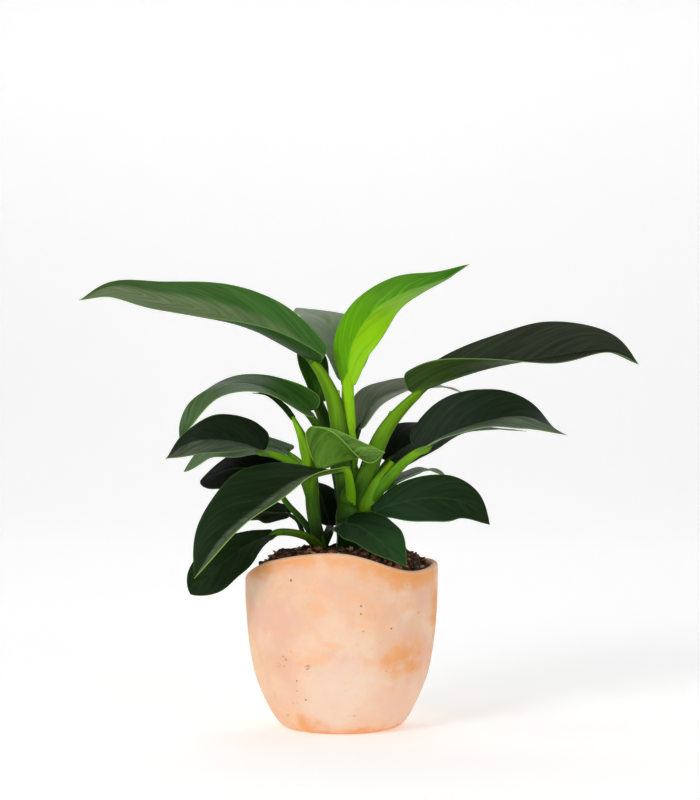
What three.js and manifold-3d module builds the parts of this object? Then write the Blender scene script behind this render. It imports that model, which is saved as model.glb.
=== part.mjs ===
import * as THREE from 'three';
import Module from 'manifold-3d';

const wasm = await Module();
wasm.setup();

// Millimetres. The pot stands on z = 0 with its axis on Z, and +X is to the right of the side
// that is looked at along +Y.
const gap = 0.3;

const potFoot = 35;
const potWall = 4.5;
const potFloor = 6;
// Outer radius of the pot against height.
const potOutline = [
  [0, 35], [0.9, 38.5], [2.6, 41.5], [9, 46.5], [23, 53.6],
  [39, 59.2], [60, 62.6], [80, 64.4], [100, 65], [125, 65],
];
// Rim height every 45 degrees, from +X towards +Y.
const rimHeights = [111, 110, 104, 100, 101, 115, 120.5, 108];
const potSides = 40;
// Rings of the pot's walls, as shares of the rim's height.
const outerSteps = [0.008, 0.024, 0.08, 0.2, 0.35, 0.54, 0.74, 0.9, 0.975];
const innerSteps = [0.97, 0.8, 0.54, 0.35, 0.2];
const lip = 1.2;
const floorCorner = 2;

// The soil is heaped: nearly level in the middle, then falling steeply to the wall.
const soilCrown = 118;
const soilRadius = 60;
const soilBelowRim = 3;
const soilFall = 6;
const soilRings = [1, 0.96, 0.88, 0.74, 0.56, 0.36, 0.16];
const soilSides = 36;
const soilLump = 1.1;
const lumpWaves = [[0.31, 0.27], [0.13, -0.19]];
const chipCount = 60;
const chipSize = [2.6, 6.5];
const chipFlatness = [0.5, 0.9];
const chipReach = 53;
const chipClear = 13;

const holeDepth = 30;
const holeSides = 24;
const shootSides = 14;
const shootSteps = 6;
// A shoot stands straight up to this height above the soil.
const shootNeck = 5;
const stemSides = 7;
const stemSteps = 7;
const stemDepth = 0.85;
// How far below the midrib a petiole ends, as a share of its own radius there.
const petioleDrop = 0.7;
// How many of a petiole's last steps its own blade is notched round, and how wide the gap is.
const notchSteps = 2;
const notchGap = 0.5;

const bladeEdge = 0.7;
const bladeMiddle = 1;
const ribDepth = 1.5;
const tipHalf = 0.6;
// The waves of the right margin run behind those of the left one.
const waveLag = 2;
// Keeps a blade's bend off zero, which its formula divides by.
const leastBend = 1e-4;
// Cuts leave splinters, and what is finer than this is smoothed away.
const leastDetail = 0.1;
const nearby = 0.02;
// How finely a blade is built, by its length.
const bladeGrids = [
  { from: 95, steps: 12, across: [1, 0.7, 0.36, 0.06, 0, -0.06, -0.36, -0.7, -1] },
  { from: 44, steps: 9, across: [1, 0.6, 0.08, 0, -0.08, -0.6, -1] },
  { from: 0, steps: 7, across: [1, 0.5, 0, -0.5, -1] },
];

const clay = 0xe8b795;
const earth = 0x33231a;
const green = {
  stem: 0x5f9a1c,
  fresh: 0x6fb023,
  middle: 0x2f5d1f,
  dark: 0x1c2f18,
  black: 0x101a10,
  grey: 0x56684c,
};
const roughness = { clay: 0.85, earth: 0.95, stem: 0.5, blade: 0.4, dry: 0.6 };

// The two shoots: where each stands, how thick it is, and where and how thick its stem ends.
const shoots = {
  main: { at: [5.5, 2], radius: 9, top: [8, 1, 150], stemTop: 6 },
  left: { at: [-14, -6], radius: 3.8, top: [-20, -7, 148], stemTop: 3 },
};

// Each leaf has its petiole from the shoot to the blade and the blade's midrib from base to tip.
// half is half the width, lobe how far the base reaches back, and outline is the width of the base
// as a share, where the blade is widest, how full it is beyond and how drawn out its tip is.
// Left and right are seen from the base of the blade. Each is the rise of that half above level at
// the base, the middle and the tip, in degrees, and curl is how much more its margin rises.
// wave is the height and the number of the margin's waves.
const leaves = {
  upper_left: {
    shoot: 'main', colour: green.middle, half: 27, lobe: 3, outline: [0.5, 0.28, 1.7, 1.05],
    petiole: [[2, 0, 172], [-5, 2, 219], [-14, 3, 242]], thick: [5.5, 6.5, 7, 6, 3.4],
    blade: [[-17, 3, 245], [-30, 3, 252], [-72, 5, 273], [-123, 8, 287], [-156, 9, 294], [-178, 8, 287]],
    left: [10, -30, -70], right: [75, 58, 50], curl: [35, 0], wave: [0.6, 2],
  },
  back_upper: {
    shoot: 'main', colour: green.grey, half: 24, lobe: 2, outline: [0.35, 0.45, 2.2, 0.9],
    petiole: [[5, 8, 172], [2, 18, 212], [2, 24, 230]], thick: [3, 2.4, 2],
    blade: [[2, 25, 232], [-1, 45, 254], [-12, 70, 275], [-33, 98, 286]],
    left: [30, 15, 0], right: [30, 15, 0], curl: [0, 0], wave: [1, 2],
  },
  newest: {
    shoot: 'main', colour: green.fresh, half: 21, lobe: 2, outline: [0.3, 0.38, 1.8, 1],
    petiole: [[7, 4, 172], [5, 4, 207], [3.5, 6, 227]], thick: [5, 4.8, 4.4, 4],
    blade: [[4, 8, 231], [7, 14, 256], [22, 24, 280], [45, 36, 294], [72, 50, 304], [90, 62, 315]],
    left: [5, 30, 45], right: [-40, -12, 20], curl: [0, 0], wave: [1, 2],
  },
  upper_right: {
    shoot: 'main', colour: green.dark, half: 27, lobe: 5, outline: [0.55, 0.5, 2, 1.05],
    petiole: [[14, 0, 159], [29, -2, 199], [48, -3, 224]], thick: [8, 7.4, 6, 3.2],
    blade: [
      [50, -3, 225], [74, -4, 234], [102, -6, 242], [139, -10, 248], [176, -14, 252],
      [198, -16, 243],
    ],
    left: [45, 60, 85], right: [80, -5, 10], curl: [0, 0], wave: [1, 2],
  },
  arched_left: {
    shoot: 'main', colour: green.middle, half: 19, lobe: 6, outline: [0.65, 0.35, 2.6, 1.05],
    petiole: [[2, 2, 159], [-11, 0, 192], [-21, -4, 211]], thick: [4, 3.4, 2.6],
    blade: [
      [-23, -5, 213], [-35, -6, 219], [-53, -8, 228], [-70, -9, 230.5],
      [-88, -10, 226.5], [-101.5, -11, 217], [-106.5, -12, 205], [-108, -12, 191.5],
    ],
    left: [-20, -20, -100], right: [80, 10, 15], curl: [0, 0], wave: [1, 2],
  },
  oval_left: {
    shoot: 'left', colour: green.dark, half: 21, lobe: 5, outline: [0.85, 0.25, 1.6, 1.05],
    petiole: [[-20, -8, 152], [-30, -12, 175], [-45, -15, 183]], thick: [3.8, 3.6, 3.2, 2.2],
    blade: [[-54, -17, 186], [-64, -20, 190], [-82, -26, 193], [-100, -32, 191], [-115, -38, 181]],
    left: [-8, -28, -90], right: [55, 55, 5], curl: [0, 0], wave: [0.8, 2],
  },
  pale_left: {
    shoot: 'left', colour: green.grey, half: 13, lobe: 5, outline: [0.6, 0.5, 2, 0.8],
    petiole: [[-19, 4, 158], [-28, 10, 177], [-38, 14, 184]], thick: [2.6, 2, 1.6],
    blade: [[-39, 14, 185], [-63, 30, 188], [-90, 46, 186], [-111, 56, 169]],
    left: [-20, -40, -50], right: [30, 45, 50], curl: [0, 0], wave: [0.8, 2],
  },
  black_left: {
    shoot: 'left', colour: green.black, half: 20, lobe: 6, outline: [0.7, 0.45, 2.4, 0.7],
    petiole: [[-25, -4, 137], [-37, 0, 150], [-43, 3, 159]], thick: [2.8, 2.2, 1.8],
    blade: [[-44, 4, 163], [-54, 16, 170], [-74, 34, 172], [-99, 52, 163]],
    left: [-50, -50, -40], right: [50, 50, 40], curl: [0, 0], wave: [0.8, 2],
  },
  front_left: {
    shoot: 'main', colour: green.dark, half: 29, lobe: 2, outline: [0.12, 0.5, 1.9, 1],
    petiole: [[6, -9, 149], [6, -14, 160], [5, -22, 172]], thick: [4, 3.8, 3.4, 2.2],
    blade: [[3, -25, 174.5], [-27, -37, 166], [-52, -48, 148], [-75, -59, 130], [-94, -68, 105]],
    left: [12, 11, 11], right: [-15, 62, 40], curl: [0, 0], wave: [1, 2],
  },
  low_left: {
    shoot: 'left', colour: green.dark, half: 18.5, lobe: 4, outline: [0.25, 0.6, 2.4, 0.75],
    petiole: [[-18, -10, 125], [-31, -18, 131], [-43, -22.5, 131.5]], thick: [3.2, 2.8, 2.4],
    blade: [[-48, -24, 130], [-60, -30, 125], [-76, -38, 114], [-98, -48, 93]],
    left: [-20, -30, -30], right: [40, 40, 30], curl: [0, 0], wave: [0.8, 2],
  },
  small_left: {
    shoot: 'left', colour: green.black, half: 11, lobe: 3, outline: [0.6, 0.4, 2, 0.9],
    petiole: [[-25, 0, 128], [-30, 3, 138], [-36, 5, 142]], thick: [2, 1.6, 1.3],
    blade: [[-37, 5, 143], [-45, 8, 143], [-54, 11, 143], [-66, 14, 138]],
    left: [-35, -35, -20], right: [35, 35, 20], curl: [0, 0], wave: [0.5, 2],
  },
  front_middle: {
    shoot: 'left', colour: green.middle, half: 29, lobe: 2, outline: [0.9, 0.1, 1.15, 1.05],
    petiole: [[-20, -8, 142], [-21, -9, 158], [-18.5, -10, 168]], thick: [3.2, 3.2, 2.8],
    blade: [[-15.5, -11, 173], [-3, -14, 177.5], [13, -17, 181.5], [29, -20, 184.5]],
    left: [76, 80, 60], right: [92, 48, -160], curl: [0, 0], wave: [0.6, 1],
  },
  behind_right: {
    shoot: 'main', colour: green.grey, half: 14, lobe: 2, outline: [0.6, 0.35, 1.8, 1.1],
    petiole: [[9, 8, 158], [8, 14, 185], [10, 18, 199]], thick: [3, 2.4, 2],
    blade: [[11, 18, 200], [21, 32, 217], [41, 52, 226], [70, 74, 229], [88, 88, 224]],
    left: [45, 35, 10], right: [10, 0, 0], curl: [0, 0], wave: [1, 2],
  },
  right: {
    shoot: 'main', colour: green.dark, half: 26, lobe: 7, outline: [0.65, 0.35, 1.8, 1.25],
    petiole: [[18, -4, 149], [38, -8, 174], [51, -9.5, 184.5]], thick: [5, 4.6, 4, 2.6],
    blade: [[56, -10, 188], [70, -12, 196], [92, -16, 204], [122, -22, 208], [149, -30, 196]],
    left: [65, 60, -20], right: [-5, -14, -50], curl: [0, 0], wave: [1, 2],
  },
  under_right: {
    shoot: 'main', colour: green.black, half: 20, lobe: 5, outline: [0.75, 0.25, 1.7, 1.2],
    petiole: [[17, 6, 148], [23, 12, 166], [31, 16, 177]], thick: [2.8, 2.4, 2],
    blade: [[32, 17, 179], [44, 28, 187], [58, 42, 194], [90, 64, 200], [132, 84, 197]],
    left: [65, 20, 0], right: [-25, -10, 0], curl: [0, 0], wave: [1, 2],
  },
  low_right: {
    shoot: 'main', colour: green.dark, half: 20, lobe: 3, outline: [0.35, 0.45, 1.9, 0.95],
    petiole: [[11, -5, 134], [16, -8, 141], [20, -10, 144]], thick: [3, 2.4, 2],
    blade: [[23, -12, 145], [37, -14, 150], [58, -17, 154], [82, -22, 151], [98, -27, 137]],
    left: [50, 50, 40], right: [-30, -52, -40], curl: [0, 0], wave: [0.8, 2],
  },
  over_rim: {
    shoot: 'main', colour: green.dark, half: 20, lobe: 1, outline: [0.75, 0.3, 1.9, 1],
    petiole: [[5, -8, 127], [1, -18, 135]], thick: [2.6, 2, 1.6],
    blade: [[2, -25, 138.5], [14, -32, 134.5], [28, -44, 124.5], [42, -56, 111.5]],
    left: [20, 30, 24], right: [-15, -12, -5], curl: [0, 0], wave: [0.8, 2],
  },
  thin_right: {
    shoot: 'main', colour: green.grey, half: 9, lobe: 3, outline: [0.6, 0.4, 1.8, 1.1],
    petiole: [[21, 8, 152], [34, 14, 163]], thick: [2.2, 1.8, 1.5],
    blade: [[36, 14, 163], [48, 26, 168], [61, 40, 171], [73, 54, 166]],
    left: [10, 10, 0], right: [10, 10, 0], curl: [0, 0], wave: [0.5, 2],
  },
  narrow_back: {
    shoot: 'main', colour: green.middle, half: 14, lobe: 3, outline: [0.6, 0.4, 1.8, 1.1],
    petiole: [[-3, 10, 172], [-12, 15, 206], [-15, 20, 217]], thick: [4, 4.4, 4.4, 4],
    blade: [[-16, 21, 219], [-21, 34, 235], [-25, 48, 253], [-29, 60, 269]],
    left: [40, 40, 20], right: [40, 40, 20], curl: [0, 0], wave: [0.6, 2],
  },
  low_back: {
    shoot: 'left', colour: green.black, half: 15, lobe: 1, outline: [0.6, 0.4, 1.8, 1.1],
    petiole: [[-9, 1, 129], [-8, 9, 132]], thick: [3.2, 3.2, 2.6],
    blade: [[-8, 15, 134], [-12, 24, 146], [-16, 34, 157], [-21, 42, 163]],
    left: [20, 20, 10], right: [20, 20, 10], curl: [0, 0], wave: [0.6, 2],
  },
};

// Sheaths end in a free point beside the petiole that they wrap.
const sheaths = [
  { shoot: 'main', path: [[14, 0, 159], [24, -1, 186], [33, -2, 212]], thick: [6, 5, 0.8] },
  { shoot: 'main', path: [[2, 0, 172], [-2, 1, 205], [-2, 1, 226]], thick: [6, 6, 0.8] },
  { shoot: 'main', path: [[16, -2, 145], [24, -5, 163], [34, -6, 178]], thick: [5, 6.8, 2.2] },
  { shoot: 'main', path: [[4, -8, 140], [4, -9, 156], [7, -12, 168]], thick: [8, 8, 0.8] },
  {
    shoot: 'left',
    path: [[-18, -5, 142], [-20, -3, 162], [-22, -1, 177], [-26, 0, 193], [-33, 2, 208]],
    thick: [2.8, 3.2, 4.6, 4.4, 1.3],
  },
];
// The left one has a dry point, a thin body of its own.
const dryPoint = {
  half: 2.6, lobe: 0.5, outline: [0.9, 0.2, 1.6, 1.1],
  blade: [[-34, 2, 209], [-39, 2, 215], [-50, 2, 223], [-60, 2, 224]],
  left: [-50, -50, -50], right: [50, 50, 50], curl: [0, 0], wave: [0, 1],
};

function mix(a, b, k) {
  return a + (b - a) * k;
}

// The value at t of a curve through its values at the base, the middle and the tip.
function along([base, middle, tip], t) {
  return base * (1 - t) * (1 - 2 * t) + 4 * middle * t * (1 - t) + tip * t * (2 * t - 1);
}

// The direction of a path at t.
function aheadOf(at, t) {
  return at(Math.min(t + nearby, 1)).sub(at(Math.max(t - nearby, 0))).normalize();
}

function listAt(list, t) {
  const k = Math.min(Math.floor(t * (list.length - 1)), list.length - 2);
  return mix(list[k], list[k + 1], t * (list.length - 1) - k);
}

function curve(points) {
  return new THREE.CatmullRomCurve3(points.map((p) => new THREE.Vector3(...p)));
}

// A smooth path through the points, with t measured along its length.
function path(points) {
  const line = curve(points);
  return (t) => line.getPointAt(t);
}

function toManifold(positions, triangles) {
  const mesh = new wasm.Mesh({
    numProp: 3,
    vertProperties: new Float32Array(positions),
    triVerts: new Uint32Array(triangles),
  });
  return new wasm.Manifold(mesh);
}

// Closes a stack of rings, all with the same number of points, by a fan at each end.
function ringSolid(rings) {
  const count = rings[0].length;
  const positions = [];
  const triangles = [];
  rings.forEach((ring) => ring.forEach((p) => positions.push(...p)));
  for (let i = 0; i + 1 < rings.length; i++) {
    for (let j = 0; j < count; j++) {
      const a = i * count + j;
      const b = i * count + ((j + 1) % count);
      triangles.push(a, b, b + count, a, b + count, a + count);
    }
  }
  [0, rings.length - 1].forEach((end) => {
    const centre = [0, 1, 2].map((axis) => rings[end].reduce((sum, p) => sum + p[axis], 0) / count);
    const middle = positions.length / 3;
    positions.push(...centre);
    for (let j = 0; j < count; j++) {
      const a = end * count + j;
      const b = end * count + ((j + 1) % count);
      triangles.push(...(end === 0 ? [middle, b, a] : [middle, a, b]));
    }
  });
  return toManifold(positions, triangles);
}

function tube(points, thick, sides, steps, from = 0) {
  const at = path(points);
  const rings = [];
  for (let i = 0; i <= steps; i++) {
    const t = mix(from, 1, i / steps);
    const ahead = aheadOf(at, t);
    const across = new THREE.Vector3(0, -1, 0).cross(ahead).normalize();
    const deep = new THREE.Vector3().crossVectors(ahead, across);
    const radius = listAt(thick, t);
    const ring = [];
    for (let j = 0; j < sides; j++) {
      const turn = (2 * Math.PI * j) / sides;
      const p = at(t);
      p.addScaledVector(across, radius * Math.cos(turn));
      p.addScaledVector(deep, radius * stemDepth * Math.sin(turn));
      ring.push([p.x, p.y, p.z]);
    }
    rings.push(ring);
  }
  return ringSolid(rings);
}

// Width of one half at t.
function halfWidth(leaf, t) {
  const [base, widest, belly, point] = leaf.outline;
  if (t < widest) {
    return leaf.half * mix(base, 1, Math.sin((Math.PI / 2) * (t / widest)));
  }
  const u = (t - widest) / (1 - widest);
  return Math.max(leaf.half * (1 - u ** belly) ** point, tipHalf);
}

// A point of the blade's middle surface: t from base to tip, s from the left margin 1 to the right -1.
function bladePoint(leaf, at, t, s) {
  const start = at(0);
  const end = at(1);
  const heading = Math.atan2(end.y - start.y, end.x - start.x);
  const ahead = aheadOf(at, t);
  const side = new THREE.Vector3(-Math.sin(heading), Math.cos(heading), 0);
  side.addScaledVector(ahead, -side.dot(ahead)).normalize();
  const up = new THREE.Vector3().crossVectors(ahead, side);
  const out = Math.abs(s);
  const width = halfWidth(leaf, t);
  const rise = THREE.MathUtils.degToRad(along(s > 0 ? leaf.left : leaf.right, t));
  const bend = THREE.MathUtils.degToRad(leaf.curl[s > 0 ? 0 : 1]) + leastBend;
  const level = (width * (Math.sin(rise + bend * out) - Math.sin(rise))) / bend;
  const lift = (width * (Math.cos(rise) - Math.cos(rise + bend * out))) / bend;
  const [height, waves] = leaf.wave;
  const swing = Math.sin(2 * Math.PI * waves * t + (s > 0 ? 0 : waveLag)) * Math.sin(Math.PI * t);
  const back = leaf.lobe * Math.sqrt(1 - (2 * out - 1) ** 2) * (1 - t) ** 3;
  const p = at(t);
  p.addScaledVector(side, Math.sign(s) * level);
  p.addScaledVector(up, lift + height * swing * out * out);
  p.addScaledVector(ahead, -back);
  return p;
}

// The direction that the blade's upper face looks in at t and s.
function bladeNormal(leaf, at, t, s) {
  const forward = bladePoint(leaf, at, Math.min(t + nearby, 1), s);
  forward.sub(bladePoint(leaf, at, Math.max(t - nearby, 0), s));
  const left = bladePoint(leaf, at, t, Math.min(s + nearby, 1));
  left.sub(bladePoint(leaf, at, t, Math.max(s - nearby, -1)));
  return forward.cross(left).normalize();
}

// A blade is two faces with a rib under the midrib and a closed edge all round.
function bladeSolid(leaf) {
  const at = path(leaf.blade);
  const length = curve(leaf.blade).getLength();
  const { steps, across } = bladeGrids.find((grid) => length > grid.from);
  const count = across.length;
  const top = [];
  const under = [];
  for (let i = 0; i <= steps; i++) {
    const t = i / steps;
    across.forEach((s) => {
      const p = bladePoint(leaf, at, t, s);
      const normal = bladeNormal(leaf, at, t, s);
      const thick = mix(bladeMiddle, bladeEdge, Math.abs(s));
      const rib = s === 0 ? ribDepth * (1 - t) : 0;
      top.push(p.clone().addScaledVector(normal, thick / 2));
      under.push(p.clone().addScaledVector(normal, -thick / 2 - rib));
    });
  }
  const positions = [...top, ...under].flatMap((p) => p.toArray());
  const below = top.length;
  const triangles = [];
  const quad = (a, b, c, d) => triangles.push(a, b, c, a, c, d);
  for (let i = 0; i < steps; i++) {
    for (let j = 0; j + 1 < count; j++) {
      const a = i * count + j;
      const b = a + 1;
      const c = b + count;
      const d = a + count;
      quad(a, b, c, d);
      triangles.push(a + below, c + below, b + below, a + below, d + below, c + below);
    }
    const left = i * count;
    const right = left + count - 1;
    quad(left, left + count, left + count + below, left + below);
    quad(right, right + below, right + count + below, right + count);
  }
  for (let j = 0; j + 1 < count; j++) {
    const tip = steps * count + j;
    quad(j, j + below, j + 1 + below, j + 1);
    quad(tip, tip + 1, tip + 1 + below, tip + below);
  }
  return toManifold(positions, triangles);
}

// A notch may cut a loose splinter off, which is dropped.
function largest(solid) {
  return solid.decompose().reduce((a, b) => (a.volume() > b.volume() ? a : b));
}

const group = new THREE.Group();

function addNode(name, solid, colour, roughness) {
  const made = solid.asOriginal().simplify(leastDetail).getMesh();
  const geometry = new THREE.BufferGeometry();
  const positions = [];
  for (let i = 0; i < made.numVert; i++) {
    positions.push(...made.position(i));
  }
  geometry.setAttribute('position', new THREE.Float32BufferAttribute(positions, 3));
  geometry.setIndex(Array.from(made.triVerts));
  geometry.computeVertexNormals();
  const mesh = new THREE.Mesh(geometry, new THREE.MeshStandardMaterial({ color: colour, roughness }));
  mesh.name = name;
  group.add(mesh);
}

function outerRadius(z) {
  const next = potOutline.findIndex((p) => p[0] > z);
  const a = potOutline[next - 1];
  const b = potOutline[next];
  return mix(a[1], b[1], (z - a[0]) / (b[0] - a[0]));
}

// Rim height at an angle, through the eight given ones.
function rimHeight(angle) {
  const place = ((angle / (2 * Math.PI) + 1) % 1) * rimHeights.length;
  const k = Math.floor(place);
  const f = place - k;
  const [a, b, c, d] = [-1, 0, 1, 2].map((i) => rimHeights.at((k + i) % rimHeights.length));
  return b + 0.5 * f * (c - a + f * (2 * a - 5 * b + 4 * c - d + f * (3 * (b - c) + d - a)));
}

function ring(sides, radiusAt, heightAt) {
  return Array.from({ length: sides }, (_, j) => {
    const angle = (2 * Math.PI * j) / sides;
    const z = heightAt(angle);
    const r = radiusAt(z);
    return [r * Math.cos(angle), r * Math.sin(angle), z];
  });
}

function potSolid() {
  const rings = [ring(potSides, () => potFoot, () => 0)];
  const inside = (z) => outerRadius(z) - potWall;
  outerSteps.forEach((k) => rings.push(ring(potSides, outerRadius, (a) => k * rimHeight(a))));
  rings.push(ring(potSides, (z) => outerRadius(z) - lip, rimHeight));
  rings.push(ring(potSides, (z) => inside(z) + lip, rimHeight));
  innerSteps.forEach((k) => rings.push(ring(potSides, inside, (a) => k * rimHeight(a))));
  rings.push(ring(potSides, (z) => inside(z) - floorCorner, () => potFloor));
  return ringSolid(rings);
}

// Seeded, so that the soil is the same each time.
let seed = 7;
function random() {
  seed = (seed * 16807) % 2147483647;
  return seed / 2147483647;
}

function soilHeight(x, y) {
  const angle = Math.atan2(y, x);
  const wall = rimHeight(angle) - soilBelowRim;
  const fall = Math.min(Math.hypot(x, y) / soilRadius, 1) ** soilFall;
  const [small, wide] = lumpWaves;
  const lumps = Math.sin(x * small[0]) * Math.cos(y * small[1]) + Math.sin(x * wide[0] + y * wide[1]);
  return mix(soilCrown, wall, fall) + soilLump * lumps * (1 - fall);
}

// A bit of bark, half sunk in the soil.
function chip(x, y) {
  const size = mix(...chipSize, random() ** 2);
  const shape = [size, size * mix(...chipFlatness, random()), size * mix(...chipFlatness, random())];
  const turn = [360 * random(), 360 * random(), 360 * random()];
  return wasm.Manifold.cube(shape, true).rotate(turn).translate([x, y, soilHeight(x, y)]);
}

function soilSolid() {
  const inside = (z) => outerRadius(z) - potWall - gap;
  const wallRings = innerSteps.slice(1).reverse();
  const rings = [ring(soilSides, (z) => inside(z) - floorCorner - gap, () => potFloor + gap)];
  wallRings.forEach((k) => rings.push(ring(soilSides, inside, (a) => k * rimHeight(a))));
  soilRings.forEach((k) => {
    const flat = ring(soilSides, () => k * soilRadius, () => 0);
    rings.push(flat.map(([x, y]) => [x, y, soilHeight(x, y)]));
  });
  let soil = ringSolid(rings);
  for (let i = 0; i < chipCount; i++) {
    const angle = 2 * Math.PI * random();
    const r = chipReach * Math.sqrt(random());
    const x = r * Math.cos(angle);
    const y = r * Math.sin(angle);
    const clear = Object.values(shoots).every(({ at }) => Math.hypot(x - at[0], y - at[1]) > chipClear);
    if (clear) {
      soil = soil.add(chip(x, y));
    }
  }
  Object.values(shoots).forEach(({ at, radius }) => {
    const hole = wasm.Manifold.cylinder(2 * holeDepth, radius + gap, radius + gap, holeSides);
    soil = soil.subtract(hole.translate([at[0], at[1], soilCrown - holeDepth]));
  });
  return soil;
}

// The petiole from inside the shoot to just short of the blade, made thicker all round by extra.
function petioleSolid(leaf, extra, steps, from) {
  const { at } = shoots[leaf.shoot];
  const before = new THREE.Vector3(...leaf.petiole.at(-1));
  const end = new THREE.Vector3(...leaf.blade[0]);
  const back = before.sub(end).normalize();
  end.addScaledVector(back, 2 * gap - extra);
  end.add(new THREE.Vector3(0, 0, -petioleDrop * leaf.thick.at(-1)).projectOnPlane(back));
  const points = [[...at, soilCrown], ...leaf.petiole, end.toArray()];
  return tube(points, leaf.thick.map((r) => r + extra), stemSides, steps, from);
}

function stemSolid(name) {
  const { at, radius, top, stemTop } = shoots[name];
  const foot = [...at, soilCrown - holeDepth + gap];
  const middle = [...at, soilCrown];
  const neck = [...at, soilCrown + shootNeck];
  let stem = tube([foot, middle, neck, top], [radius, radius, radius, stemTop], shootSides, shootSteps);
  Object.values(leaves).filter((leaf) => leaf.shoot === name).forEach((leaf) => {
    stem = stem.add(petioleSolid(leaf, 0, stemSteps, 0));
  });
  sheaths.filter((sheath) => sheath.shoot === name).forEach((sheath) => {
    stem = stem.add(tube([middle, ...sheath.path], sheath.thick, stemSides, stemSteps));
  });
  return stem;
}

addNode('pot', potSolid(), clay, roughness.clay);
addNode('soil', soilSolid(), earth, roughness.earth);
addNode('stem_main', stemSolid('main'), green.stem, roughness.stem);
addNode('stem_left', stemSolid('left'), green.stem, roughness.stem);
Object.entries(leaves).forEach(([name, leaf]) => {
  const notch = petioleSolid(leaf, notchGap, notchSteps, 1 - notchSteps / stemSteps);
  addNode(`blade_${name}`, largest(bladeSolid(leaf).subtract(notch)), leaf.colour, roughness.blade);
});
addNode('sheath_tip', bladeSolid(dryPoint), green.dark, roughness.dry);

export default group;
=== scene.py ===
import math

import bmesh
import bpy
import numpy as np
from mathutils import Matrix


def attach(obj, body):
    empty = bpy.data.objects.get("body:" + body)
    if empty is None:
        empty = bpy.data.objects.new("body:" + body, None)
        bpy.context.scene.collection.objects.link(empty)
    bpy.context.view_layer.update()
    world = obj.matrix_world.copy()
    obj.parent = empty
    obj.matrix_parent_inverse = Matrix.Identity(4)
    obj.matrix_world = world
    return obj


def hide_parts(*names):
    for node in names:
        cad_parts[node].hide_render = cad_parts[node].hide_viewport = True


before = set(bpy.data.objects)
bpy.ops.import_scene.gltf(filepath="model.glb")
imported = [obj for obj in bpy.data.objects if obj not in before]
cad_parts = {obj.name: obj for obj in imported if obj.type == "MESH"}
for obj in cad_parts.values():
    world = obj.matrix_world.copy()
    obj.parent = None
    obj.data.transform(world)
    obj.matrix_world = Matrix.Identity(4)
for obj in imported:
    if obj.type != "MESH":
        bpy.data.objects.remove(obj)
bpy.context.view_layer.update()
print("frame loaded with", len(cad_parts), "nodes")

mm = 0.001  # the numbers below are in millimetres, the meshes in metres
scene = bpy.context.scene


# One output in a material. Sums and products of wires add the Math nodes that they stand for.
class Wire:
    def __init__(self, finish, socket):
        self.finish = finish
        self.socket = socket

    def maths(self, operation, a, b=0.0):
        return self.finish.node("ShaderNodeMath", {"operation": operation}, {0: a, 1: b})

    def __add__(self, other):
        return self.maths("ADD", self, other)

    def __sub__(self, other):
        return self.maths("SUBTRACT", self, other)

    def __rsub__(self, other):
        return self.maths("SUBTRACT", other, self)

    def __mul__(self, other):
        return self.maths("MULTIPLY", self, other)

    def __truediv__(self, other):
        return self.maths("DIVIDE", self, other)

    def __rtruediv__(self, other):
        return self.maths("DIVIDE", other, self)

    def __abs__(self):
        return self.maths("ABSOLUTE", self)

    __radd__ = __add__
    __rmul__ = __mul__


# A colour as it looks on a screen, 0 to 255, turned into the renderer's own scale.
def screen(red, green, blue):
    def level(value):
        share = value / 255
        return share / 12.92 if share <= 0.04045 else ((share + 0.055) / 1.055) ** 2.4
    return (level(red), level(green), level(blue), 1)


class Finish:
    def __init__(self, name):
        self.material = bpy.data.materials.new(name)
        self.material.use_nodes = True
        self.tree = self.material.node_tree
        self.tree.nodes.clear()

    # Any node: its settings come first, then the values or wires of its sockets.
    def node(self, kind, settings={}, sockets={}, out=0):
        made = self.tree.nodes.new(kind)
        for name, value in settings.items():
            setattr(made, name, value)
        for name, value in sockets.items():
            if isinstance(value, Wire):
                self.tree.links.new(value.socket, made.inputs[name])
            else:
                made.inputs[name].default_value = value
        return Wire(self, made.outputs[out]) if len(made.outputs) else None

    def mix(self, amount, first, second):
        return self.node("ShaderNodeMix", {"data_type": "RGBA"}, {0: amount, 6: first, 7: second}, 2)

    # 0 to 1 with soft ends while value goes from low to high, which may also be the other way.
    def soft(self, value, low, high):
        settings = {"interpolation_type": "SMOOTHSTEP"}
        return self.node("ShaderNodeMapRange", settings, {"Value": value, "From Min": low, "From Max": high})

    def read(self, name):
        return self.node("ShaderNodeAttribute", {"attribute_name": name}, {}, 2)

    def place(self):
        return self.node("ShaderNodeTexCoord", {}, {}, 3)

    def stretched(self, place, scale):
        return self.node("ShaderNodeVectorMath", {"operation": "MULTIPLY"}, {0: place, 1: scale})

    def point(self, x, y, z):
        return self.node("ShaderNodeCombineXYZ", {}, {"X": x, "Y": y, "Z": z})

    # Cloudy noise, with features of about size millimetres.
    def noise(self, size, detail=3.0, rough=0.5, place=None):
        sockets = {"Vector": place or self.place(), "Scale": 1 / (size * mm)}
        return self.node("ShaderNodeTexNoise", {}, {**sockets, "Detail": detail, "Roughness": rough})

    # Sends everything to the surface. height, which is in millimetres, makes bumps.
    def surface(self, colour, rough, gloss, height=None, more={}):
        sockets = {"Base Color": colour, "Roughness": rough, "Specular IOR Level": gloss, **more}
        if height is not None:
            bump = {"Strength": 1.0, "Distance": mm, "Height": height}
            sockets["Normal"] = self.node("ShaderNodeBump", {}, bump)
        shader = self.node("ShaderNodeBsdfPrincipled", {}, sockets)
        self.node("ShaderNodeOutputMaterial", {}, {"Surface": shader})
        return self.material


def added(name, data):
    made = bpy.data.objects.new(name, data)
    scene.collection.objects.link(made)
    return made


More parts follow.
